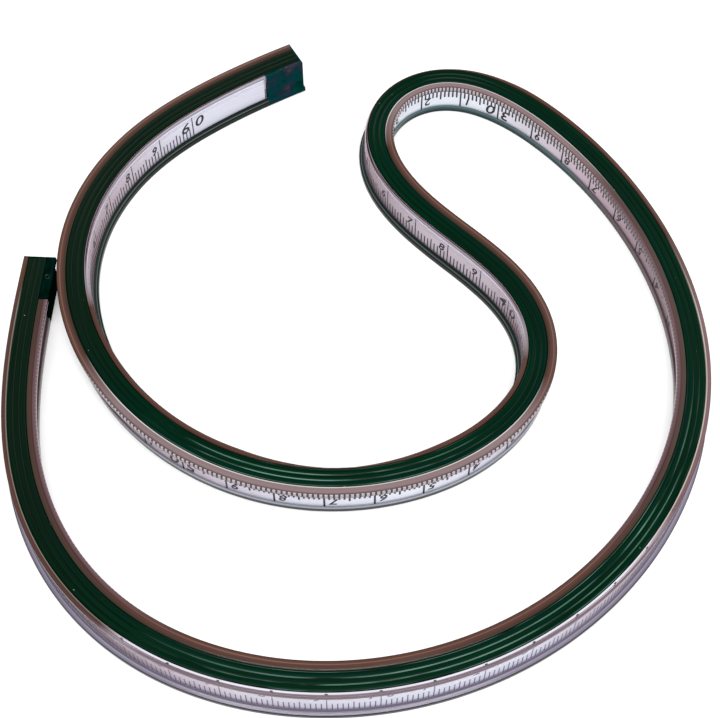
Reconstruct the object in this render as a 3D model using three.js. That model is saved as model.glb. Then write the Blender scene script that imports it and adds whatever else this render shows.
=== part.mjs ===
// A flexible curve ruler with a 60 cm scale, standing on edge in a freehand curve.
//
// A lead bar between two spring-steel ribbons lies in a green PVC sheath. A clear PVC edge runs along each
// side of the sheath and holds a printed scale tape in a groove. A plug closes each end. The ruler bends at
// any point of its length. Here it bends at six upright joints, so every long piece is made as seven
// sections, one for each stretch between two joints.
//
// Units are millimetres and +Z is up. The origin is under the middle of the whole curve, on the table.

import * as THREE from "three";

// ---- The bend of the ruler -------------------------------------------------------------------------
// Each row is a distance along the ruler in millimetres and the bend there in degrees per centimetre.
// Positive bends to the left. Between two rows the bend changes evenly.
const BENDS = [
  [0, 0], // the 0 cm end, nearly straight
  [30, 4.1],
  [60, 9.0],
  [90, 10.3], // the big loop
  [120, 8.0],
  [150, 7.2],
  [180, 7.4],
  [210, 7.5],
  [240, 8.4],
  [270, 6.4],
  [300, 5.7],
  [320, 6.3],
  [335, 13.3], // the hairpin
  [350, 33.5],
  [365, 34.0],
  [380, 25.0],
  [395, 11.9],
  [410, 2.4], // the bend changes side
  [425, -11.1],
  [440, -22.8],
  [455, -22.5],
  [470, -15.0], // the inner loop
  [490, -10.3],
  [510, -10.4],
  [540, -9.8],
  [570, -9.8],
  [600, -11.8],
  [630, -10.1],
  [650, -4.2],
  [674, -2], // the 60 cm end
];
const START = { x: -70.2, y: 18.5, heading: -93 }; // centre of the 0 cm end, and its direction in degrees

// ---- Driving dimensions ----------------------------------------------------------------------------
const LENGTH = 674;
const HEIGHT = 9;
const JOINTS = [90, 190, 290, 400, 490, 580]; // distances of the six bending joints from the 0 cm end
const JOINT_GAP = 2.4; // free length at a joint, so that two sections can turn 30 degrees either way
const STEPS = [11, 12, 13, 24, 20, 11, 10]; // steps along each section, closer where it bends more
const SHEATH_HALF = 2; // half of the sheath's width
const HOLLOW_HALF = 1.25;
const WALL = 1.5; // the sheath's thickness above and below its hollow
const CORNER = 0.4; // bevel of the sheath's long edges
const CORE_HALF = 0.85;
const RIBBON = { near: 0.93, far: 1.17 }; // the steel ribbon's two faces, from the middle of the ruler
const CORE_GAP = 0.1; // free height above and below the core and the ribbons
const PLUG_LENGTH = 11;
const PLUG_GAP = 0.3; // free length between a plug and the pieces that end against it
const EDGE = { back: 2.06, wall: 2.35, lip: 3.1, lipInner: 2.8, flange: 4 }; // distances from the middle
const FLANGE_UNDER = 7.7; // height of the flange's underside
const GROOVE = { floor: 1.1, top: 1.9, roof: 7.1 }; // the low lip's floor and top, and the high lip's end
const FLANGE_BEVEL = 0.3;
const TAPE = { near: 2.42, far: 2.67, low: 1.2, high: 7.6 };

// ---- The middle line of the ruler ------------------------------------------------------------------
const DEGREE = Math.PI / 180;
const MM_PER_CM = 10;

function bendAt(s) {
  let i = 1;
  while (i < BENDS.length - 1 && BENDS[i][0] < s) i += 1;
  const [s0, bend0] = BENDS[i - 1];
  const [s1, bend1] = BENDS[i];
  const share = (s - s0) / (s1 - s0);
  return ((bend0 + (bend1 - bend0) * share) * DEGREE) / MM_PER_CM;
}

// The place and the heading at every half millimetre, by adding up small straight steps.
const WALK = 0.5;
const places = [{ x: START.x, y: START.y, heading: START.heading * DEGREE }];
for (let i = 0; i < LENGTH / WALK; i += 1) {
  const last = places[i];
  const turn = bendAt((i + 0.5) * WALK) * WALK;
  const middle = last.heading + turn / 2;
  places.push({
    x: last.x + Math.cos(middle) * WALK,
    y: last.y + Math.sin(middle) * WALK,
    heading: last.heading + turn,
  });
}

function placeAt(s) {
  const i = Math.min(Math.floor(s / WALK), places.length - 2);
  const share = s / WALK - i;
  const mix = (key) => places[i][key] * (1 - share) + places[i + 1][key] * share;
  return { x: mix("x"), y: mix("y"), heading: mix("heading") };
}

// A stretch of the middle line, at height 0.
class Stretch extends THREE.Curve {
  constructor(from, to) {
    super();
    this.from = from;
    this.to = to;
    this.arcLengthDivisions = 400;
  }

  getPoint(t, target = new THREE.Vector3()) {
    const { x, y } = placeAt(this.from + (this.to - this.from) * t);
    return target.set(x, y, 0);
  }

  getTangent(t, target = new THREE.Vector3()) {
    const { heading } = placeAt(this.from + (this.to - this.from) * t);
    return target.set(Math.cos(heading), Math.sin(heading), 0);
  }
}

// ---- Cross-sections --------------------------------------------------------------------------------
// A point is [side, height]: side is the distance to the left of the middle line, height is above the
// table. The extrusion takes a shape's x as depth below its path and its y as the side.
function asShape(points) {
  return new THREE.Shape(points.map(([side, height]) => new THREE.Vector2(-height, side)));
}

function rectangle(side0, side1, low, high) {
  return [
    [side0, low],
    [side1, low],
    [side1, high],
    [side0, high],
  ];
}

// The same outline turned half a turn about the middle of the cross-section.
function turned(points) {
  return points.map(([side, height]) => [-side, HEIGHT - height]);
}

function sheathShape() {
  const outline = [
    [-SHEATH_HALF + CORNER, 0],
    [SHEATH_HALF - CORNER, 0],
    [SHEATH_HALF, CORNER],
    [SHEATH_HALF, HEIGHT - CORNER],
    [SHEATH_HALF - CORNER, HEIGHT],
    [-SHEATH_HALF + CORNER, HEIGHT],
    [-SHEATH_HALF, HEIGHT - CORNER],
    [-SHEATH_HALF, CORNER],
  ];
  const shape = asShape(outline);
  const hollow = rectangle(-HOLLOW_HALF, HOLLOW_HALF, WALL, HEIGHT - WALL);
  shape.holes.push(new THREE.Path(hollow.map(([side, height]) => new THREE.Vector2(-height, side))));
  return shape;
}

// The clear edge on the left: a thin back wall, a flange at the top and a low lip at the bottom.
const EDGE_OUTLINE = [
  [EDGE.back, 0],
  [EDGE.lip, 0],
  [EDGE.lip, GROOVE.top],
  [EDGE.lipInner, GROOVE.top],
  [EDGE.lipInner, GROOVE.floor],
  [EDGE.wall, GROOVE.floor],
  [EDGE.wall, FLANGE_UNDER],
  [EDGE.lipInner, FLANGE_UNDER],
  [EDGE.lipInner, GROOVE.roof],
  [EDGE.lip, GROOVE.roof],
  [EDGE.lip, FLANGE_UNDER],
  [EDGE.flange, FLANGE_UNDER],
  [EDGE.flange, HEIGHT - FLANGE_BEVEL],
  [EDGE.flange - FLANGE_BEVEL, HEIGHT],
  [EDGE.back, HEIGHT],
];
const TAPE_OUTLINE = rectangle(TAPE.near, TAPE.far, TAPE.low, TAPE.high);
const RIBBON_OUTLINE = rectangle(RIBBON.near, RIBBON.far, WALL + CORE_GAP, HEIGHT - WALL - CORE_GAP);
const CORE_OUTLINE = rectangle(-CORE_HALF, CORE_HALF, WALL + CORE_GAP, HEIGHT - WALL - CORE_GAP);

// A plug is the head's whole outline: sheath, flanges and lips as one block.
const PLUG_OUTLINE = [
  [-EDGE.flange, 0],
  [EDGE.lip, 0],
  [EDGE.lip, FLANGE_UNDER],
  [EDGE.flange, FLANGE_UNDER],
  [EDGE.flange, HEIGHT],
  [-EDGE.lip, HEIGHT],
  [-EDGE.lip, HEIGHT - FLANGE_UNDER],
  [-EDGE.flange, HEIGHT - FLANGE_UNDER],
];

// ---- Materials -------------------------------------------------------------------------------------
function material(color, roughness, metalness) {
  return new THREE.MeshStandardMaterial({ color, roughness, metalness });
}
const GREEN_PVC = material(0x04301f, 0.38, 0);
const CLEAR_PVC = material(0x9a8583, 0.2, 0);
const TAPE_WHITE = material(0xe2e0ee, 0.45, 0);
const SPRING_STEEL = material(0xb4b8bd, 0.3, 1);
const LEAD = material(0x6e7278, 0.6, 1);
const PLUG_GREEN = material(0x052a22, 0.3, 0);

// ---- The pieces ------------------------------------------------------------------------------------
const LAYERS = [
  { name: "sheath", shape: sheathShape(), material: GREEN_PVC },
  { name: "lead_core", shape: asShape(CORE_OUTLINE), material: LEAD },
  { name: "steel_ribbon_left", shape: asShape(RIBBON_OUTLINE), material: SPRING_STEEL },
  { name: "steel_ribbon_right", shape: asShape(turned(RIBBON_OUTLINE)), material: SPRING_STEEL },
  { name: "clear_edge_left", shape: asShape(EDGE_OUTLINE), material: CLEAR_PVC },
  { name: "clear_edge_right", shape: asShape(turned(EDGE_OUTLINE)), material: CLEAR_PVC },
  { name: "scale_tape_left", shape: asShape(TAPE_OUTLINE), material: TAPE_WHITE },
  { name: "scale_tape_right", shape: asShape(turned(TAPE_OUTLINE)), material: TAPE_WHITE },
];

const ruler = new THREE.Group();

function addMesh(name, shape, path, steps, meshMaterial) {
  const geometry = new THREE.ExtrudeGeometry(shape, { steps, extrudePath: path, bevelEnabled: false });
  const mesh = new THREE.Mesh(geometry, meshMaterial);
  mesh.name = name;
  ruler.add(mesh);
}

const ends = [PLUG_LENGTH + PLUG_GAP, ...JOINTS, LENGTH - PLUG_LENGTH - PLUG_GAP];
STEPS.forEach((steps, i) => {
  const from = ends[i] + (i > 0 ? JOINT_GAP / 2 : 0);
  const to = ends[i + 1] - (i < STEPS.length - 1 ? JOINT_GAP / 2 : 0);
  const path = new Stretch(from, to);
  for (const layer of LAYERS) {
    addMesh(`${layer.name}_${i + 1}`, layer.shape, path, steps, layer.material);
  }
});

const plugShape = asShape(PLUG_OUTLINE);
addMesh("end_plug_0cm", plugShape, new Stretch(0, PLUG_LENGTH), 1, PLUG_GREEN);
addMesh("end_plug_60cm", plugShape, new Stretch(LENGTH - PLUG_LENGTH, LENGTH), 1, PLUG_GREEN);

export default ruler;
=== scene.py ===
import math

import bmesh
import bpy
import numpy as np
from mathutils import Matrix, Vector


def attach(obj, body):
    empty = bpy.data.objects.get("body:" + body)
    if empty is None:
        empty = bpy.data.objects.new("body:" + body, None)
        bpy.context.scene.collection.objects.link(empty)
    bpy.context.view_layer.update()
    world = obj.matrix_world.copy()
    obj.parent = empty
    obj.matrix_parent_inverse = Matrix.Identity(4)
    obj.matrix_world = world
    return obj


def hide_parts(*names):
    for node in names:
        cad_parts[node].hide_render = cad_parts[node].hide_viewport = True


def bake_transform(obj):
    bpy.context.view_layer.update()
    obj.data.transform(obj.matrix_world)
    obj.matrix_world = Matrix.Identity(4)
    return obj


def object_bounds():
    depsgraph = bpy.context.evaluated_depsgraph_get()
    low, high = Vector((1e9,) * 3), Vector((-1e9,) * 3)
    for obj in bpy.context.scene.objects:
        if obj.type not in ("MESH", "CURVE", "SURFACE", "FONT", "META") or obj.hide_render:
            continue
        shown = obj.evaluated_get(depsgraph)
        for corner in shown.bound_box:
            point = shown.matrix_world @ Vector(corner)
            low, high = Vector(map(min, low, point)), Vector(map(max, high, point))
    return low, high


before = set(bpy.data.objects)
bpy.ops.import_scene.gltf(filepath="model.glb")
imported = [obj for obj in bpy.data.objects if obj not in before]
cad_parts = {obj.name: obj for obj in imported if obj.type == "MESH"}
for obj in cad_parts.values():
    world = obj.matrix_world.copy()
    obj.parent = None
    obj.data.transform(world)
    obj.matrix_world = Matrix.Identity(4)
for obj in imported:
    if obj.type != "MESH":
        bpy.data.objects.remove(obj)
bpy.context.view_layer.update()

# The looks of a flexible curve ruler with a 60 cm scale, which stands on edge in a freehand curve.
# Lengths are in millimetres along and across the ruler, and become metres in place().
# A point of the cross-section is (side, height): side is the distance to the left of the middle line,
# looking along the ruler from its 0 cm end, and height is above the table.

MM = 0.001
MM_PER_CM = 10

# ---- The bend of the ruler, as in the CAD model ------------------------------------------------------
# Rows of (distance from the 0 cm end, bend in degrees per centimetre, positive to the left).
BENDS = [
    (0, 0), (30, 4.1), (60, 9.0), (90, 10.3), (120, 8.0), (150, 7.2), (180, 7.4), (210, 7.5),
    (240, 8.4), (270, 6.4), (300, 5.7), (320, 6.3), (335, 13.3), (350, 33.5), (365, 34.0),
    (380, 25.0), (395, 11.9), (410, 2.4), (425, -11.1), (440, -22.8), (455, -22.5), (470, -15.0),
    (490, -10.3), (510, -10.4), (540, -9.8), (570, -9.8), (600, -11.8), (630, -10.1),
    (650, -4.2), (674, -2),
]
START_X, START_Y, START_HEADING = -70.2, 18.5, math.radians(-93)
LENGTH = 674
JOINTS = [90, 190, 290, 400, 490, 580]  # distances of the bending joints from the 0 cm end
WALK = 0.5  # step along the middle line

# ---- Cross-section -----------------------------------------------------------------------------------
HEIGHT = 9
SHEATH_HALF = 2
SHEATH_CORNER = 0.35
TOP_INSET = 0.14  # the ribbed top ends this far inside the sheath's sides
RIBS = 3
RIB_DEPTH = 0.14
RIB_STEPS = 5  # points on each half of a rib
RIB_POWER = 5  # how flat a rib's top is
CORE_HALF = 0.85
CORE_LOW = 1.6
RIBBON_NEAR, RIBBON_FAR = 0.93, 1.17
EDGE_BACK, EDGE_WALL, LIP_INNER, LIP, FLANGE = 2.06, 2.35, 2.8, 3.1, 4
FLANGE_UNDER = 7.7
GROOVE_FLOOR, GROOVE_TOP, GROOVE_ROOF = 1.1, 1.9, 7.1
EDGE_ROUND = 0.16
TAPE_NEAR, TAPE_FAR, TAPE_LOW, TAPE_HIGH = 2.42, 2.67, 1.2, 7.6
PLUG_ROUND = 0.2
PLUG_TOP = HEIGHT - 0.05  # a plug's filler is this high, a little below its end plate
INK = 0.03  # thickness of a digit, and how far a tick stands off the tape
INK_BACK = 0.005  # gap between the tape and the printing

# ---- Lengthwise ---------------------------------------------------------------------------------------
PLUG = 11  # length of the plug at the 0 cm end
PLUG_GAP = 0.3
PLATE = 0.25  # thickness of a plug's end plate
LAST_PLUG = 10  # visible length of the plug at the 60 cm end
# Where the long layers are cut. Each piece between two seams crosses one joint.
SEAMS = [PLUG + PLUG_GAP, 140, 240, 350, 445, 535, LENGTH - LAST_PLUG - PLUG_GAP]
SWEEP_STEP = 1.2  # longest step along a sweep
SHARP_ANGLE = math.radians(35)  # edges with a larger angle are shaded sharp
SCALE_START = {"left": 23.94, "right": 47.44}  # tape length before the 0 tick
SCALE_SIDE = {"left": 1.95, "right": -2.08}  # where the tape keeps its length in a bend
SCALE_MM = {"left": 1.0086, "right": 1.0}  # length of one printed millimetre
SCALE_CM = 60
HALF_CM = 5
FAINT_MM = 200  # the right scale is thin and pale up to here

# ---- The middle line ----------------------------------------------------------------------------------
steps = np.arange(0, LENGTH, WALK)
bend_rows = np.array(BENDS, float)
bend = np.radians(np.interp(steps + WALK / 2, bend_rows[:, 0], bend_rows[:, 1])) / MM_PER_CM
line_s = np.append(steps, LENGTH)
line_heading = START_HEADING + np.append(0, np.cumsum(bend * WALK))
mid_heading = (line_heading[:-1] + line_heading[1:]) / 2
line_x = START_X + np.append(0, np.cumsum(np.cos(mid_heading) * WALK))
line_y = START_Y + np.append(0, np.cumsum(np.sin(mid_heading) * WALK))


def place(s, side, height):
    """Points in metres at distance s along the ruler, and at this side and height."""
    heading = np.interp(s, line_s, line_heading)
    x = np.interp(s, line_s, line_x) - side * np.sin(heading)
    y = np.interp(s, line_s, line_y) + side * np.cos(heading)
    return np.stack([x, y, height + 0 * x], axis=-1) * MM


def tape_run(s, hand):
    """Length of a bent tape from the 0 cm end to distance s along the middle line."""
    return s - SCALE_SIDE[hand] * (np.interp(s, line_s, line_heading) - START_HEADING)


def printed_mm(s, hand):
    """What the scale reads at distance s along the middle line, in millimetres."""
    return (tape_run(s, hand) - SCALE_START[hand]) / SCALE_MM[hand]


def along_tape(length, hand):
    """Distance along the middle line where a tape has run this length."""
    return np.interp(length, tape_run(line_s, hand), line_s)


# ---- Outlines -----------------------------------------------------------------------------------------
def rectangle(side0, side1, low, high):
    return [(side0, low), (side1, low), (side1, high), (side0, high)]


def turned(outline):
    """The outline turned half a turn about the middle of the cross-section."""
    return [(-side, HEIGHT - height) for side, height in outline]


def rounded(outline, radius):
    """The outline with each corner rounded, over radius or less on each side of it."""
    cuts = 3
    share = 0.4  # the most of a side that one corner may take
    result = []
    points = [Vector(p) for p in outline]
    for i, corner in enumerate(points):
        before, after = points[i - 1] - corner, points[(i + 1) % len(points)] - corner
        a = corner + before.normalized() * min(radius, before.length * share)
        b = corner + after.normalized() * min(radius, after.length * share)
        for k in range(cuts + 1):
            t = k / cuts
            point = a * (1 - t) ** 2 + corner * 2 * t * (1 - t) + b * t ** 2
            result.append((point.x, point.y))
    return result


def ribbed_top():
    """The top of the sheath from right to left: flat-topped ribs with a fine groove between each two."""
    half = SHEATH_HALF - TOP_INSET
    width = 2 * half / RIBS
    points = []
    for rib in range(RIBS):
        middle = -half + width * (rib + 0.5)
        first = -RIB_STEPS if rib == 0 else 1 - RIB_STEPS  # two ribs share the point between them
        for k in range(first, RIB_STEPS + 1):
            share = k / RIB_STEPS
            points.append((middle + share * width / 2, HEIGHT - RIB_DEPTH * abs(share) ** RIB_POWER))
    return points


def sheath_outline():
    shoulder = HEIGHT - SHEATH_CORNER - RIB_DEPTH
    upper = [(-SHEATH_HALF, shoulder)] + ribbed_top() + [(SHEATH_HALF, shoulder)]
    return upper + turned(upper)


# The clear edge on the left: a back wall, a low lip and, at the top, the flange with the high lip under it.
CLEAR_EDGE = [
    (EDGE_BACK, 0), (LIP, 0), (LIP, GROOVE_TOP), (LIP_INNER, GROOVE_TOP), (LIP_INNER, GROOVE_FLOOR),
    (EDGE_WALL, GROOVE_FLOOR), (EDGE_WALL, FLANGE_UNDER), (LIP_INNER, FLANGE_UNDER),
    (LIP_INNER, GROOVE_ROOF), (LIP, GROOVE_ROOF), (LIP, FLANGE_UNDER), (FLANGE, FLANGE_UNDER),
    (FLANGE, HEIGHT), (EDGE_BACK, HEIGHT),
]
TAPE = rectangle(TAPE_NEAR, TAPE_FAR, TAPE_LOW, TAPE_HIGH)
RIBBON = rectangle(RIBBON_NEAR, RIBBON_FAR, CORE_LOW, HEIGHT - CORE_LOW)
CORE = rectangle(-CORE_HALF, CORE_HALF, CORE_LOW, HEIGHT - CORE_LOW)
# A plug fills the place of one clear edge and its tape. Its end plate closes the whole ruler.
PLUG_SIDE = [
    (EDGE_BACK, 0), (LIP, 0), (LIP, FLANGE_UNDER), (FLANGE, FLANGE_UNDER), (FLANGE, PLUG_TOP),
    (EDGE_BACK, PLUG_TOP),
]
PLUG_PLATE = [
    (-FLANGE, 0), (LIP, 0), (LIP, FLANGE_UNDER), (FLANGE, FLANGE_UNDER), (FLANGE, HEIGHT),
    (-LIP, HEIGHT), (-LIP, HEIGHT - FLANGE_UNDER), (-FLANGE, HEIGHT - FLANGE_UNDER),
]


# ---- Materials ----------------------------------------------------------------------------------------
NOISE_ROUGHNESS = 0.55
LOW_LIP_TOP = 2.0  # lip_ramp() runs up to this height
FULL_TURN = 2 * math.pi


def srgb(code):
    """A linear colour from a six-digit hex code."""
    values = [int(code[i:i + 2], 16) / 255 for i in (0, 2, 4)]
    return [v / 12.92 if v <= 0.04045 else ((v + 0.055) / 1.055) ** 2.4 for v in values] + [1]


class Nodes:
    """A material with one Principled shader, and short ways to add nodes to it.

    along, side and height are a point's place on the straight ruler, in mm, and reading is what the scale
    reads there. finished() keeps them with each mesh.
    """

    def __init__(self, name, roughness, metallic=0.0, specular=0.5):
        self.material = bpy.data.materials.new(name)
        self.material.use_nodes = True
        self.tree = self.material.node_tree
        self.shader = self.tree.nodes["Principled BSDF"]
        self.shader.inputs["Roughness"].default_value = roughness
        self.shader.inputs["Metallic"].default_value = metallic
        self.shader.inputs["Specular IOR Level"].default_value = specular
        attribute = self.add("ShaderNodeAttribute", attribute_name="run")
        self.run = attribute.outputs["Vector"]
        split = self.add("ShaderNodeSeparateXYZ")
        self.link(self.run, split.inputs[0])
        self.along, self.side, self.height = split.outputs
        self.reading = self.add("ShaderNodeAttribute", attribute_name="reading").outputs["Fac"]

    def add(self, kind, **values):
        node = self.tree.nodes.new(kind)
        for key, value in values.items():
            setattr(node, key, value)
        return node

    def link(self, source, target):
        self.tree.links.new(source, target)

    def math(self, operation, a, b=0.0, clamp=False):
        """a and b are sockets or numbers."""
        node = self.add("ShaderNodeMath", operation=operation, use_clamp=clamp)
        for socket, value in zip(node.inputs, (a, b)):
            if isinstance(value, (int, float)):
                socket.default_value = value
            else:
                self.link(value, socket)
        return node.outputs[0]

    def noise(self, squeeze, scale, detail=3.0):
        """Noise over (along, side, height), which are first multiplied by squeeze."""
        mapping = self.add("ShaderNodeMapping")
        mapping.inputs["Scale"].default_value = squeeze
        self.link(self.run, mapping.inputs["Vector"])
        node = self.add("ShaderNodeTexNoise")
        node.inputs["Scale"].default_value = scale
        node.inputs["Detail"].default_value = detail
        node.inputs["Roughness"].default_value = NOISE_ROUGHNESS
        self.link(mapping.outputs[0], node.inputs["Vector"])
        return node.outputs["Fac"]

    def ramp(self, factor, stops):
        """Stops are (position, colour), with the position from 0 to 1 and a hex code or a list as colour."""
        node = self.add("ShaderNodeValToRGB")
        elements = node.color_ramp.elements
        while len(elements) < len(stops):
            elements.new(1.0)
        for element, (position, colour) in zip(elements, stops):
            element.position = position
            element.color = srgb(colour) if isinstance(colour, str) else colour
        self.link(factor, node.inputs[0])
        return node.outputs[0]

    def mix(self, factor, a, b, blend="MIX"):
        """a at factor 0 and b at factor 1. A colour is a socket or a hex code."""
        node = self.add("ShaderNodeMix", data_type="RGBA", blend_type=blend)
        for socket, value in ((node.inputs[0], factor), (node.inputs[6], a), (node.inputs[7], b)):
            if isinstance(value, str):
                socket.default_value = srgb(value)
            elif isinstance(value, (int, float)):
                socket.default_value = value
            else:
                self.link(value, socket)
        return node.outputs[2]

    def times(self, *factors):
        product = factors[0]
        for factor in factors[1:]:
            product = self.math("MULTIPLY", product, factor)
        return product

    def most(self, *values):
        largest = values[0]
        for value in values[1:]:
            largest = self.math("MAXIMUM", largest, value)
        return largest

    def over(self, value, limit):
        """1 where value is over limit, and else 0."""
        return self.math("GREATER_THAN", value, limit)

    def between(self, value, low, high, soft):
        """1 where value is from low to high, falling to 0 over soft outside it."""
        rise = self.math("DIVIDE", self.math("SUBTRACT", value, low - soft), soft, clamp=True)
        fall = self.math("DIVIDE", self.math("SUBTRACT", high + soft, value), soft, clamp=True)
        return self.math("MULTIPLY", rise, fall)

    def stretch(self, *stretches):
        """1 in these stretches of the ruler, each (from, to, soft) in mm."""
        return self.most(*[self.between(self.along, *stretch) for stretch in stretches])

    def along_ramp(self, rows):
        """A colour ramp over the ruler's length. Rows are (distance in mm, hex code)."""
        return self.ramp(self.math("DIVIDE", self.along, LENGTH), [(s / LENGTH, code) for s, code in rows])

    def across_ramp(self, rows):
        """A colour ramp over the clear edge from the sheath outwards. Rows are (side in mm, hex code)."""
        width = FLANGE - SHEATH_HALF
        size = self.math("ABSOLUTE", self.side)
        factor = self.math("DIVIDE", self.math("SUBTRACT", size, SHEATH_HALF), width, clamp=True)
        return self.ramp(factor, [((side - SHEATH_HALF) / width, code) for side, code in rows])

    def lip_ramp(self, rows):
        """A colour ramp over the low lip's height. Rows are (height in mm, hex code)."""
        factor = self.math("DIVIDE", self.height, LOW_LIP_TOP, clamp=True)
        return self.ramp(factor, [(height / LOW_LIP_TOP, code) for height, code in rows])

    def bump(self, height, strength, distance=0.0001):
        node = self.add("ShaderNodeBump")
        node.inputs["Strength"].default_value = strength
        node.inputs["Distance"].default_value = distance
        self.link(height, node.inputs["Height"])
        self.link(node.outputs[0], self.shader.inputs["Normal"])

    def colour(self, source):
        """Sets the shader's base colour."""
        self.link(source, self.shader.inputs["Base Color"])

    def rough(self, factor, low, high):
        """Roughness from low to high with factor."""
        node = self.add("ShaderNodeMapRange")
        node.inputs["To Min"].default_value = low
        node.inputs["To Max"].default_value = high
        self.link(factor, node.inputs["Value"])
        self.link(node.outputs[0], self.shader.inputs["Roughness"])


# Stretches of the ruler, (from, to, soft) in mm from the 0 cm end. A look fades out over soft beyond them.
# painted shade: the sheath's green darkens towards a grey green near the two plugs
PAINTED_SHADE_NEAR_PLUGS = [(0, 60, 45), (575, 674, 25)]
# painted highlights: on these stretches the rib edges are painted pale green where they would catch the
# light
PAINTED_RIB_HIGHLIGHTS = [(135, 205, 40), (488, 530, 18)]
FAINT_PRINT = (60, 235, 25)
LEFT_CLEAR = [(305, 368, 14), (468, 553, 14)]
LEFT_MAUVE = [(0, 80, 25), (215, 290, 25)]
LEFT_TEAL_FOOT = (312, 400, 20)
LEFT_BANDED_FOOT = (462, 545, 20)
RIGHT_CLEAR = [(97, 203, 14), (390, 437, 14), (592, 674, 14)]
RIGHT_BROWN = (13, 90, 6)
RIGHT_PALE_HIGHLIGHT_LINE = (215, 258, 22)
RIGHT_CORNER_LINE = (100, 235, 30)
RIGHT_PALE_FOOT = (60, 250, 40)
RIGHT_GLASSY = [(349, 383), (501, 507)]

# Tints of the tape. Its white leans to pink or blue, and the darker mauve, brown, dark and olive tints are
# painted shade where the tape lies in shadow.
WHITE, LILAC, FAIR, PALE, PINK = "ecf1f9", "dddeeb", "d4cfda", "c5b9c3", "c9b4bf"
MAUVE, BROWN, DARK, OLIVE = "9b858d", "7e676c", "60484a", "6c5d56"
# Rows of (distance in mm, tint), with painted shade in the darker tints.
LEFT_TINTS_AND_SHADE = [
    (0, DARK), (65, BROWN), (85, BROWN), (110, PALE), (210, PALE), (235, BROWN), (255, BROWN), (280, MAUVE),
    (305, PINK), (340, WHITE), (365, WHITE), (385, PINK), (435, MAUVE), (450, MAUVE), (462, PALE),
    (475, LILAC), (490, WHITE), (515, LILAC), (535, PALE), (555, MAUVE), (585, BROWN), (605, PALE),
    (674, FAIR),
]
RIGHT_TINTS_AND_SHADE = [
    (0, BROWN), (55, DARK), (70, DARK), (95, MAUVE), (107, PALE), (120, FAIR), (145, LILAC), (175, LILAC),
    (190, PALE), (207, MAUVE), (225, BROWN), (235, BROWN), (252, MAUVE), (270, PALE), (370, PALE),
    (385, MAUVE), (405, PALE), (425, PALE), (440, MAUVE), (455, PALE), (550, PALE), (565, OLIVE),
    (580, OLIVE), (597, MAUVE), (620, PALE), (640, LILAC), (674, LILAC),
]


def green_pvc(name, specular, painted_rib_light=0.0):
    """Dark green PVC. The last argument is how far painted highlights take the rib edges towards a pale
    green on their stretches; when it is set, painted shade also darkens the rib edges into black grooves.
    """
    m = Nodes(name, roughness=0.24, specular=specular)
    streaks = m.noise((0.02, 2.2, 2.2), 2.0, detail=4.0)
    cloud = m.noise((0.05, 0.4, 0.4), 1.0)
    base = m.ramp(streaks, [(0.3, "00140a"), (0.5, "001e10"), (0.75, "002a18")])
    teal = m.mix(m.between(m.side, 0.9, 1.8, 0.5), base, "01231f")
    base = m.mix(m.times(cloud, 0.4), base, teal)
    # painted shade near the two plugs
    base = m.mix(m.times(m.stretch(*PAINTED_SHADE_NEAR_PLUGS), 0.6), base, "0b150c")
    if painted_rib_light:
        # painted shade darkens the rib edges into black grooves, and painted highlights turn them pale green
        # in patches
        base = m.mix(0.75, base, "000a05")
        patches = m.ramp(m.noise((0.05, 0.9, 1), 1.4), [(0.4, "000000"), (0.62, "ffffff")])
        base = m.mix(m.times(m.stretch(*PAINTED_RIB_HIGHLIGHTS), patches, painted_rib_light), base, "6d8f82")
    dust = m.over(m.noise((1, 1, 1), 1.9, detail=0.0), 0.9)
    m.colour(m.mix(m.times(dust, 0.6), base, "b9c4bd"))
    m.rough(streaks, 0.2, 0.34)
    m.bump(m.noise((0.04, 6.0, 6.0), 1.5, detail=5.0), 0.08)
    return m.material


def plug_pvc():
    """Moulded PVC with clouds of colour: nearly black at the 0 cm end, blue and red at the other."""
    m = Nodes("plug_pvc", roughness=0.35, specular=0.0)
    clouds = m.noise((0.25, 0.5, 0.3), 1.1)
    blue = m.ramp(clouds, [(0.3, "01231a"), (0.45, "033634"), (0.55, "0f2c38"), (0.64, "272d37"),
                           (0.75, "45353b")])
    black = m.ramp(clouds, [(0.3, "000b07"), (0.55, "001611"), (0.75, "0a1c1c")])
    m.colour(m.mix(m.math("LESS_THAN", m.along, LENGTH / 2), blue, black))
    m.rough(clouds, 0.2, 0.45)
    m.bump(clouds, 0.2, distance=0.0002)
    return m.material


def tape_white(name, tints_and_shade):
    m = Nodes(name, roughness=0.42, specular=0.2)
    streaks = m.noise((0.02, 0.5, 0.35), 1.6)
    dull = m.ramp(streaks, [(0.25, [0.88, 0.86, 0.9, 1]), (0.7, [1, 1, 1, 1])])
    # the tint ramp along the tape carries painted shade in its darker stretches
    m.colour(m.mix(1.0, m.along_ramp(tints_and_shade), dull, "MULTIPLY"))
    m.rough(streaks, 0.34, 0.5)
    m.bump(m.noise((0.6, 2, 2), 2.0, detail=2.0), 0.08)
    return m.material


def ink():
    """Black ink, washed out to a pale blue on a stretch of the right tape."""
    m = Nodes("scale_ink", roughness=0.5, specular=0.3)
    wear = m.noise((1.2, 1.2, 1.2), 2.4, detail=4.0)
    dark = m.ramp(wear, [(0.3, "140e18"), (0.6, "241c2a"), (0.85, "3d3546")])
    faint = m.ramp(wear, [(0.3, "4b4768"), (0.6, "66638a"), (0.85, "8584a8")])
    on_right = m.math("LESS_THAN", m.side, 0.0)
    m.colour(m.mix(m.times(m.stretch(FAINT_PRINT), on_right), dark, faint))
    return m.material


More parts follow.
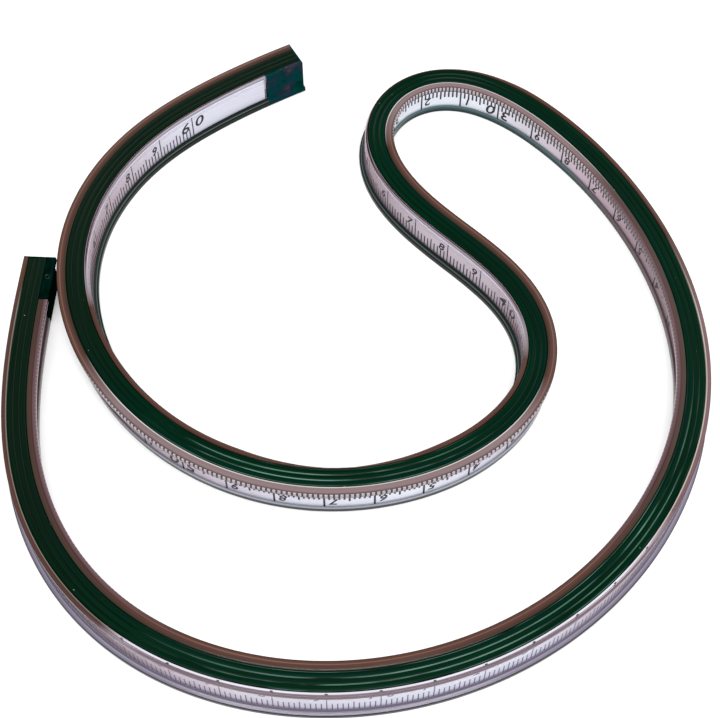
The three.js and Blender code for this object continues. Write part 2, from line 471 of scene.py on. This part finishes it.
def clear_pvc(name, upper_clear, upper_smoky, lower, clear_stretches):
    """Clear PVC with a smoky brown cast, coloured by what shows through it in the photo's light.

    Returns the nodes, the colour and two masks: the clear stretches, and the upper half.
    """
    m = Nodes(name, roughness=0.14, specular=0.15)
    clearer = m.stretch(*clear_stretches)
    upper = m.mix(clearer, m.across_ramp(upper_smoky), m.across_ramp(upper_clear))
    is_upper = m.over(m.height, HEIGHT / 2)
    return m, m.mix(is_upper, lower(m), upper), clearer, is_upper


def hazed(m, colour):
    """Puts streaks of haze over the colour, and returns the material."""
    haze = m.noise((0.03, 0.8, 0.8), 1.7, detail=4.0)
    dull = m.ramp(haze, [(0.3, [0.8, 0.8, 0.8, 1]), (0.7, [1, 1, 1, 1])])
    m.colour(m.mix(1.0, colour, dull, "MULTIPLY"))
    m.rough(haze, 0.08, 0.22)
    return m.material


def left_foot(m):
    """The low lip on the left: teal in the hairpin, banded on the inner loop, elsewhere mauve. The pale line
    in the teal and banded ramps is a painted highlight.
    """
    # painted highlight: the paler stops near the lip's top
    teal = m.lip_ramp([(0.0, "151f21"), (0.7, "1d3032"), (0.9, "2c4648"), (1.3, "31504f"), (1.5, "5b6f74"),
                       (1.9, "4f6267")])
    bands = m.lip_ramp([(0.0, "15161a"), (1.05, "1f2126"), (1.25, "8e929c"), (1.75, "adb1bd"),
                        (1.9, "7d8189")])
    mauve = m.lip_ramp([(0.0, "241c1b"), (0.5, "3d3030"), (0.8, "5a484c"), (1.9, "5a484c")])
    colour = m.mix(m.stretch(LEFT_TEAL_FOOT), mauve, teal)
    return m.mix(m.stretch(LEFT_BANDED_FOOT), colour, bands)


def right_foot(m):
    """The flange at the foot of the right side: dark lines with a paler band between them."""
    pale = m.across_ramp([(2.0, "8d8592"), (2.78, "cfc8d6"), (2.92, "625d6c"), (3.08, "6a6573"),
                          (3.25, "9b95a8"), (3.6, "7f798a"), (3.82, "78727f"), (3.9, "231f28"),
                          (4.0, "1d1a22")])
    slate = m.across_ramp([(2.0, "5a5560"), (2.78, "b5aeba"), (2.95, "1f2424"), (3.4, "26302c"),
                           (3.5, "66756f"), (3.65, "26302c"), (4.0, "121615")])
    return m.mix(m.stretch(RIGHT_PALE_FOOT), slate, pale)


def clear_left():
    """The left edge. The tops of the ticks behind its flange are painted on the flange's clear stretches, as
    a painted refraction.
    """
    m, colour, clearer, is_upper = clear_pvc(
        "clear_pvc_left",
        # painted highlights: the pale line next to the sheath, and the thin light line at 3.25 mm in the
        # smoky ramp; painted shade: the dark line at the outer edge
        upper_clear=[(2.0, "d6d4d1"), (2.26, "bdb8b5"), (2.36, "7b686a"), (2.8, "7e6b6e"), (3.25, "7f6d6c"),
                     (3.5, "6f5e61"), (3.65, "54474b"), (3.8, "54474b"), (4.0, "8e7c7d")],
        upper_smoky=[(2.0, "34342a"), (2.3, "3a2b22"), (2.7, "4c352f"), (3.1, "553830"), (3.25, "77584f"),
                     (3.4, "573a32"), (3.8, "50372f"), (3.88, "1c1110")],
        lower=left_foot,
        clear_stretches=LEFT_CLEAR,
    )
    mauve = m.stretch(*LEFT_MAUVE)
    oblique = m.across_ramp([(2.0, "3c3b32"), (2.3, "3f3129"), (2.9, "47332e"), (3.1, "3c2625"),
                             (3.35, "5c4549"), (4.0, "665055")])
    colour = m.mix(m.times(mauve, is_upper), colour, oblique)
    # painted refraction: one dark tooth at each millimetre of the scale
    wave = m.math("COSINE", m.times(m.reading, FULL_TURN))
    refracted_teeth = m.mix(m.math("MULTIPLY", wave, 2.5, clamp=True), "bdb3b8", "4b3d42")
    shown = m.times(m.over(m.side, 3.8), m.most(clearer, m.times(mauve, 0.2)), is_upper)
    colour = m.mix(shown, colour, refracted_teeth)
    # painted shade: a dark line along the flange's lower rim
    shaded_rim = m.times(m.over(m.side, 3.7), m.between(m.height, 7.6, 7.95, 0.1))
    return hazed(m, m.mix(m.times(shaded_rim, 0.8), colour, "2c1f1d"))


def glassy_lip(m, size, low, high):
    """1 where the high lip is glassy: nearly its whole width from low to high, less and less beyond."""
    beyond = m.most(m.math("SUBTRACT", low, m.along), m.math("SUBTRACT", m.along, high), 0.0)
    start = m.math("ADD", m.times(beyond, 0.045), 2.15)
    return m.math("DIVIDE", m.math("SUBTRACT", size, start), 0.12, clamp=True)


def clear_right():
    """The right edge. Where its high lip is clear the tape shows through it, beside a maroon line."""
    m, colour, clearer, is_upper = clear_pvc(
        "clear_pvc_right",
        upper_clear=[(2.0, "d6d3dc"), (2.3, "cfcad6"), (3.1, "c6c1cc")],
        upper_smoky=[(2.0, "3d2f28"), (2.3, "4b322b"), (2.9, "563b33"), (3.02, "2e1c18")],
        lower=right_foot,
        clear_stretches=RIGHT_CLEAR,
    )
    # painted highlight: the pale stops next to the sheath in the brown and pink ramps
    brown = m.across_ramp([(2.0, "84857b"), (2.2, "6f6a60"), (2.32, "472d28"), (2.9, "523833"),
                           (3.02, "3c2623")])
    colour = m.mix(m.times(m.stretch(RIGHT_BROWN), is_upper), colour, brown)
    pink = m.across_ramp([(2.0, "c2c1b6"), (2.25, "aaa497"), (2.36, "6d5154"), (2.9, "735659"),
                          (3.02, "54383c")])
    colour = m.mix(m.times(m.stretch(RIGHT_PALE_HIGHLIGHT_LINE), is_upper), colour, pink)

    # the line beside the clear lip: at the lip's corner on the big loop, elsewhere on its top
    size = m.math("ABSOLUTE", m.side)
    cornered = m.stretch(RIGHT_CORNER_LINE)
    at_corner = m.times(m.over(size, 2.72), m.over(m.height, 8.05), cornered)
    on_top = m.times(m.between(size, 2.16, 2.48, 0.04), m.over(m.height, 8.7),
                     m.math("SUBTRACT", 1.0, cornered))
    line = m.times(m.most(at_corner, on_top), clearer)
    colour = m.mix(line, colour, m.mix(cornered, "4c2830", "6c5a63"))

    # painted refraction: one mark at each centimetre of the scale, where the tick behind shows in the lip
    wave = m.math("COSINE", m.times(m.reading, FULL_TURN / MM_PER_CM))
    refracted_mark = m.math("MULTIPLY", m.math("SUBTRACT", wave, 0.98), 100.0, clamp=True)
    band = m.times(m.between(size, 2.3, 2.66, 0.05), cornered, clearer, is_upper)
    colour = m.mix(m.times(refracted_mark, band), colour, "3f3a50")

    clear_pane = m.times(m.over(size, 2.5), m.math("SUBTRACT", 1.0, line), clearer, 0.88)
    glassy = m.times(m.most(*[glassy_lip(m, size, low, high) for low, high in RIGHT_GLASSY]), 0.97)
    seen_through = m.times(m.most(clear_pane, glassy), is_upper)
    m.link(m.math("SUBTRACT", 1.0, seen_through), m.shader.inputs["Alpha"])
    return hazed(m, colour)


def spring_steel():
    m = Nodes("spring_steel", roughness=0.28, metallic=1.0)
    grain = m.noise((0.05, 1, 7.0), 2.0, detail=5.0)
    m.colour(m.ramp(grain, [(0.3, "8d9299"), (0.7, "c2c6cb")]))
    m.rough(grain, 0.2, 0.4)
    return m.material


def lead():
    m = Nodes("lead", roughness=0.6, metallic=0.9)
    grain = m.noise((0.3, 1, 1), 1.4, detail=5.0)
    m.colour(m.ramp(grain, [(0.3, "50545a"), (0.7, "7d8289")]))
    m.rough(grain, 0.5, 0.75)
    m.bump(grain, 0.3)
    return m.material


GREEN = green_pvc("green_pvc", 0.025)
# the rib edges: shinier, with painted shade in the grooves and painted highlights
RIB_EDGE = green_pvc("green_pvc_polished_painted_light", 0.12, painted_rib_light=0.7)
PLUG_PVC = plug_pvc()
RING_PVC = green_pvc("plug_ring_pvc", 0.12)
LEFT_TAPE = tape_white("tape_white_left", LEFT_TINTS_AND_SHADE)
RIGHT_TAPE = tape_white("tape_white_right", RIGHT_TINTS_AND_SHADE)
INK_BLACK = ink()
STEEL = spring_steel()
LEAD = lead()
CLEAR_LEFT = clear_left()
CLEAR_RIGHT = clear_right()


# ---- Sweeps -------------------------------------------------------------------------------------------
def finished(name, mesh, run, material):
    """A mesh object, shaded smooth but for its edges.

    run is each point's (along, side, height). The materials read it, and the scale's reading there.
    """
    attribute = mesh.attributes.new("run", "FLOAT_VECTOR", "POINT")
    attribute.data.foreach_set("vector", run.astype(np.float32).ravel())
    hand = "left" if run[:, 1].mean() > 0 else "right"
    reading = mesh.attributes.new("reading", "FLOAT", "POINT")
    reading.data.foreach_set("value", printed_mm(run[:, 0], hand).astype(np.float32))
    shape = bmesh.new()
    shape.from_mesh(mesh)
    bmesh.ops.recalc_face_normals(shape, faces=shape.faces)
    shape.to_mesh(mesh)
    shape.free()
    mesh.polygons.foreach_set("use_smooth", [True] * len(mesh.polygons))
    mesh.set_sharp_from_angle(angle=SHARP_ANGLE)
    mesh.materials.append(material)
    obj = bpy.data.objects.new(name, mesh)
    bpy.context.scene.collection.objects.link(obj)
    return obj


def sweep(name, outline, start, end, material, caps=(True, True)):
    """The outline drawn along the ruler from start to end. caps says which of the two ends are closed."""
    rings = max(1, math.ceil((end - start) / SWEEP_STEP)) + 1
    along = np.repeat(np.linspace(start, end, rings), len(outline))
    side = np.tile([p[0] for p in outline], rings)
    height = np.tile([p[1] for p in outline], rings)
    points = place(along, side, height)
    count = len(outline)
    faces = []
    for ring in range(rings - 1):
        for i in range(count):
            a, b = ring * count + i, ring * count + (i + 1) % count
            faces.append((a, b, b + count, a + count))
    if caps[0]:
        faces.append(tuple(reversed(range(count))))
    if caps[1]:
        faces.append(tuple(range((rings - 1) * count, rings * count)))
    mesh = bpy.data.meshes.new(name)
    mesh.from_pydata(points.tolist(), [], faces)
    return finished(name, mesh, np.stack([along, side, height], axis=-1), material)


def bend_at(obj):
    """Bakes obj's transform into its mesh."""
    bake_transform(obj)


# ---- The long layers ----------------------------------------------------------------------------------
RIB_FLAT = 0.03  # the middle of a rib's top, where it lies this little below the highest point, keeps the plain sheath material


def polish_ribs(piece, outline):
    """The rounded edges of the ribs shine more than the rest of the sheath, and their material carries
    painted shade that makes black grooves and painted highlights on some stretches.
    """
    piece.data.materials.append(RIB_EDGE)
    count = len(outline)
    middles = [(outline[i][1] + outline[(i + 1) % count][1]) / 2 for i in range(count)]
    shiny = [HEIGHT - RIB_DEPTH < middle < HEIGHT - RIB_FLAT for middle in middles]
    faces = len(piece.data.polygons)
    around = faces // count * count  # the faces after these are the end caps
    index = [int(i < around and shiny[i % count]) for i in range(faces)]
    piece.data.polygons.foreach_set("material_index", index)


# Rows of (name, outline, material, slot, start, end). The clear edge on the right runs past the 0 cm plug
# to its end plate, and the one on the left past the 60 cm plug.
LAYERS = [
    ("sheath", sheath_outline(), GREEN, "sheath_pvc", PLATE, LENGTH - PLATE),
    ("lead_core", CORE, LEAD, "lead", SEAMS[0], SEAMS[-1]),
    ("steel_ribbon_left", RIBBON, STEEL, "spring_steel", SEAMS[0], SEAMS[-1]),
    ("steel_ribbon_right", turned(RIBBON), STEEL, "spring_steel", SEAMS[0], SEAMS[-1]),
    ("clear_edge_left", rounded(CLEAR_EDGE, EDGE_ROUND), CLEAR_LEFT, "clear_pvc", SEAMS[0], LENGTH - PLATE),
    ("clear_edge_right", rounded(turned(CLEAR_EDGE), EDGE_ROUND), CLEAR_RIGHT, "clear_pvc", PLATE,
     SEAMS[-1] + PLUG_GAP),
    ("scale_tape_left", TAPE, LEFT_TAPE, "scale_tape", SEAMS[0], SEAMS[-1]),
    ("scale_tape_right", turned(TAPE), RIGHT_TAPE, "scale_tape", SEAMS[0], SEAMS[-1] - PLUG_GAP),
]
for layer, outline, material, slot, start, end in LAYERS:
    stops = [start] + SEAMS[1:-1] + [end]
    clear = slot == "clear_pvc"
    for joint in range(1, len(JOINTS) + 1):
        # a clear piece is open at a seam, so that no wall shows inside it
        caps = (not clear or joint == 1, not clear or joint == len(JOINTS))
        piece = sweep(f"{layer}_{joint}", outline, stops[joint - 1], stops[joint], material, caps)
        piece.visible_shadow = not clear
        if layer == "sheath":
            polish_ribs(piece, outline)
        bend_at(piece)
        sections = [1, 2] if joint == 1 else [joint + 1]  # six pieces stand for seven sections
        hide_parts(*[f"{layer}_{section}" for section in sections])

# ---- End plugs ----------------------------------------------------------------------------------------
FILLER_GAP = 0.05  # the 60 cm filler ends this far before the clear edge beside it
DIMPLE = {"radius": 0.5, "thick": 0.14, "from_end": 5.3, "side": 3.0, "turns": 20, "cuts": 8}


def joined(objects):
    """The objects as one, under the first one's name."""
    bpy.ops.object.select_all(action="DESELECT")
    for obj in objects:
        obj.select_set(True)
    bpy.context.view_layer.objects.active = objects[0]
    bpy.ops.object.join()
    return objects[0]


def dimple(name, s, side):
    """A small moulded ring on the top of a plug."""
    turns, cuts = DIMPLE["turns"], DIMPLE["cuts"]
    around, tube = np.meshgrid(np.arange(turns) * FULL_TURN / turns, np.arange(cuts) * FULL_TURN / cuts,
                               indexing="ij")
    far = DIMPLE["radius"] + DIMPLE["thick"] * np.cos(tube)
    run = np.stack([s + far * np.cos(around), side + far * np.sin(around),
                    PLUG_TOP + DIMPLE["thick"] * np.sin(tube)], axis=-1).reshape(-1, 3)
    faces = []
    for i in range(turns):
        for k in range(cuts):
            j, n = (i + 1) % turns, (k + 1) % cuts
            faces.append((i * cuts + k, j * cuts + k, j * cuts + n, i * cuts + n))
    mesh = bpy.data.meshes.new(name)
    mesh.from_pydata(place(run[:, 0], run[:, 1], run[:, 2]).tolist(), [], faces)
    return finished(name, mesh, run, RING_PVC)


def plug(name, end, inward, hand, length, body):
    """A plug: the filler in the place of one clear edge, the end plate and a moulded ring.

    inward is 1 or -1, the direction into the ruler, and hand is 1 for a filler on the left, -1 on the right.
    """
    outline = rounded(PLUG_SIDE if hand > 0 else turned(PLUG_SIDE), PLUG_ROUND)
    filler = sweep(name, outline, *sorted((end + inward * PLATE, end + inward * length)), PLUG_PVC)
    outline = rounded(PLUG_PLATE, PLUG_ROUND)
    plate = sweep(name + "_plate", outline, *sorted((end, end + inward * PLATE)), PLUG_PVC)
    ring = dimple(name + "_ring", end + inward * DIMPLE["from_end"], hand * DIMPLE["side"])
    piece = joined([filler, plate, ring])
    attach(piece, body)
    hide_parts(name)


plug("end_plug_0cm", 0, 1, 1, PLUG, "section_1")
plug("end_plug_60cm", LENGTH, -1, -1, LAST_PLUG - FILLER_GAP, f"section_{len(JOINTS) + 1}")

# ---- The printed scale --------------------------------------------------------------------------------
TICK_WIDTH = {"left": 0.4, "right": 0.28}
FAINT_WIDTH = 0.2  # the ticks up to FAINT_MM on the right
TICK_TOP = 7.55
TICK_FEET = {"mm": 4.55, "half": 3.8, "cm": 1.25}
DIGIT = {"size": 3.3, "wide": 1.0, "middle": 3.6, "offset": 1.8}
FAINT_DIGIT = {"size": 2.5, "wide": 1.1, "middle": 2.1, "offset": 1.8}  # up to FAINT_MM on the right
TEN_DIGIT = {"size": 4.2, "wide": 1.2, "middle": 3.6, "offset": 2.1}
SLANT = 0.2
BOLD = 0.06
END_MARGIN = 0.5  # nothing is printed nearer to a tape's end


class Print:
    """The printing on one stretch of one tape, gathered as one mesh."""

    def __init__(self, name, hand):
        self.name = name
        self.hand = hand
        self.run = []
        self.faces = []

    def add(self, along, height, depth, faces):
        """Faces on points, which are given by tape length, height as on the left tape, and depth off it."""
        first = len(self.run)
        sign = 1 if self.hand == "left" else -1
        side = sign * (TAPE_FAR + np.asarray(depth))
        height = np.asarray(height) if sign > 0 else HEIGHT - np.asarray(height)
        s = along_tape(np.asarray(along), self.hand)
        self.run += np.stack([s, side, height], axis=-1).tolist()
        self.faces += [[first + i for i in face] for face in faces]

    def tick(self, length, width, foot):
        """A thin block at that tape length, down to foot."""
        along = [length - width / 2, length + width / 2] * 4
        height = [TICK_TOP, TICK_TOP, foot, foot] * 2
        depth = [INK_BACK] * 4 + [INK] * 4
        self.add(along, height, depth, [(0, 1, 3, 2), (4, 6, 7, 5), (0, 4, 5, 1), (2, 3, 7, 6),
                                        (0, 2, 6, 4), (1, 5, 7, 3)])

    def digit(self, text, length, style):
        """A digit with its middle at that tape length. It is upside down on the left tape."""
        points, faces = digit_mesh(text, style["size"])
        along = length + points[:, 0] * style["wide"]
        self.add(along, style["middle"] - points[:, 1], INK_BACK + points[:, 2], faces)

    def finish(self):
        run = np.array(self.run)
        points = place(run[:, 0], run[:, 1], run[:, 2])
        mesh = bpy.data.meshes.new(self.name)
        mesh.from_pydata(points.tolist(), [], self.faces)
        return finished(self.name, mesh, run, INK_BLACK)


WELD = 1e-4  # points of a digit closer than this become one
digit_cache = {}


def digit_mesh(text, size):
    """Points and faces of one slanted digit in millimetres, centred, with the thickness of the ink."""
    if (text, size) not in digit_cache:
        curve = bpy.data.curves.new("digit", "FONT")
        curve.body = text
        curve.size = size
        curve.shear = SLANT
        curve.extrude = INK / 2
        curve.offset = BOLD
        curve.resolution_u = 3
        curve.fill_mode = "BOTH"
        obj = bpy.data.objects.new("digit", curve)
        bpy.context.scene.collection.objects.link(obj)
        bpy.context.view_layer.update()
        mesh = bpy.data.meshes.new_from_object(obj)
        shape = bmesh.new()
        shape.from_mesh(mesh)
        bmesh.ops.remove_doubles(shape, verts=shape.verts, dist=WELD)
        points = np.array([v.co[:] for v in shape.verts])
        faces = [[v.index for v in face.verts] for face in shape.faces]
        shape.free()
        bpy.data.objects.remove(obj)
        bpy.data.meshes.remove(mesh)
        middle = (points.min(0) + points.max(0)) / 2
        points = points - middle
        points[:, 2] += INK / 2
        digit_cache[text, size] = (points, faces)
    return digit_cache[text, size]


def digits_at(cm, faint):
    """The style of a centimetre's digits, and rows of (digit, side of the tick that it is on)."""
    tens, ones = divmod(cm, 10)
    if ones:
        return FAINT_DIGIT if faint else DIGIT, [(str(ones), -1)]
    return FAINT_DIGIT if faint else TEN_DIGIT, [("0", 1)] + [(str(tens), -1)] * (tens > 0)


def print_scale(hand):
    """Ticks and digits from 0 to 60 cm on one tape, as one piece for each joint."""
    prints = [Print(f"scale_print_{hand}_{i}", hand) for i in range(1, len(JOINTS) + 1)]

    def print_at(length):
        """The printing that covers that tape length, or None off the tape."""
        s = float(along_tape(length, hand))
        if not SEAMS[0] + END_MARGIN < s < SEAMS[-1] - END_MARGIN:
            return None
        return prints[sum(s > seam for seam in SEAMS[1:-1])]

    for mm in range(SCALE_CM * MM_PER_CM + 1):
        length = SCALE_START[hand] + mm * SCALE_MM[hand]
        if print_at(length) is None:
            continue
        kind = "cm" if mm % MM_PER_CM == 0 else "half" if mm % HALF_CM == 0 else "mm"
        faint = hand == "right" and mm < FAINT_MM
        width = FAINT_WIDTH if faint else TICK_WIDTH[hand]
        print_at(length).tick(length, width, TICK_FEET[kind])
        if kind != "cm":
            continue
        style, digits = digits_at(mm // MM_PER_CM, faint)
        for text, side in digits:
            middle = length + side * style["offset"]
            if print_at(middle) is not None:
                print_at(middle).digit(text, middle, style)
    for joint, printed in enumerate(prints, 1):
        obj = printed.finish()
        bend_at(obj)


print_scale("left")
print_scale("right")

# ---- Camera, light and floor --------------------------------------------------------------------------
# Lengths are in metres here, and light powers in watts.
CAMERA_PLACE = (0.00051, -0.16406, 0.2567)
CAMERA_TILT = math.radians(90 - 57.8)  # it looks down on the table at 57.8 degrees
LENS_MM, SENSOR_MM = 69.9, 36
LIGHTS = [  # rows of (name, place, size, power)
    ("softbox", (0.05, -0.45, 0.95), (0.9, 0.7), 10.5),
    ("strip", (0.0, 0.02, 0.8), (0.35, 0.03), 1.6),
    ("fill", (0.5, 0.5, 0.6), (0.6, 0.6), 2.0),
    ("back_fill", (-0.4, 0.8, 0.4), (0.6, 0.6), 3.5),
]
WORLD_STRENGTH = 0.3
FLOOR_HALF = 3.0
FLOOR_DROP = 0.00005  # the floor lies this little below the ruler, so that their faces don't coincide

camera_data = bpy.data.cameras.new("camera")
camera_data.lens = LENS_MM
camera_data.sensor_width = SENSOR_MM
camera_data.sensor_fit = "HORIZONTAL"
camera = bpy.data.objects.new("camera", camera_data)
camera.location = CAMERA_PLACE
camera.rotation_euler = (CAMERA_TILT, 0, 0)
bpy.context.scene.collection.objects.link(camera)
bpy.context.scene.camera = camera

lowest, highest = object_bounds()
aim = (Vector(lowest) + Vector(highest)) / 2
for name, location, size, power in LIGHTS:
    data = bpy.data.lights.new(name, "AREA")
    data.shape = "RECTANGLE"
    data.size, data.size_y = size
    data.energy = power
    light = bpy.data.objects.new(name, data)
    light.location = location
    light.rotation_euler = (aim - Vector(location)).to_track_quat("-Z", "Y").to_euler()
    bpy.context.scene.collection.objects.link(light)

world = bpy.data.worlds.new("studio")
world.use_nodes = True
world.node_tree.nodes["Background"].inputs["Color"].default_value = (1, 1, 1, 1)
world.node_tree.nodes["Background"].inputs["Strength"].default_value = WORLD_STRENGTH
bpy.context.scene.world = world
bpy.context.scene.view_settings.view_transform = "Standard"

floor_mesh = bpy.data.meshes.new("floor")
corners = rectangle(-FLOOR_HALF, FLOOR_HALF, -FLOOR_HALF, FLOOR_HALF)
floor_mesh.from_pydata([(x, y, -FLOOR_DROP) for x, y in corners], [], [(0, 1, 2, 3)])
floor = bpy.data.objects.new("floor", floor_mesh)
bpy.context.scene.collection.objects.link(floor)
floor_material = bpy.data.materials.new("floor_paper")
floor_material.use_nodes = True
paper = floor_material.node_tree.nodes["Principled BSDF"]
paper.inputs["Base Color"].default_value = (0.92, 0.92, 0.92, 1)
paper.inputs["Roughness"].default_value = 0.9
paper.inputs["Specular IOR Level"].default_value = 0.1
floor_mesh.materials.append(floor_material)
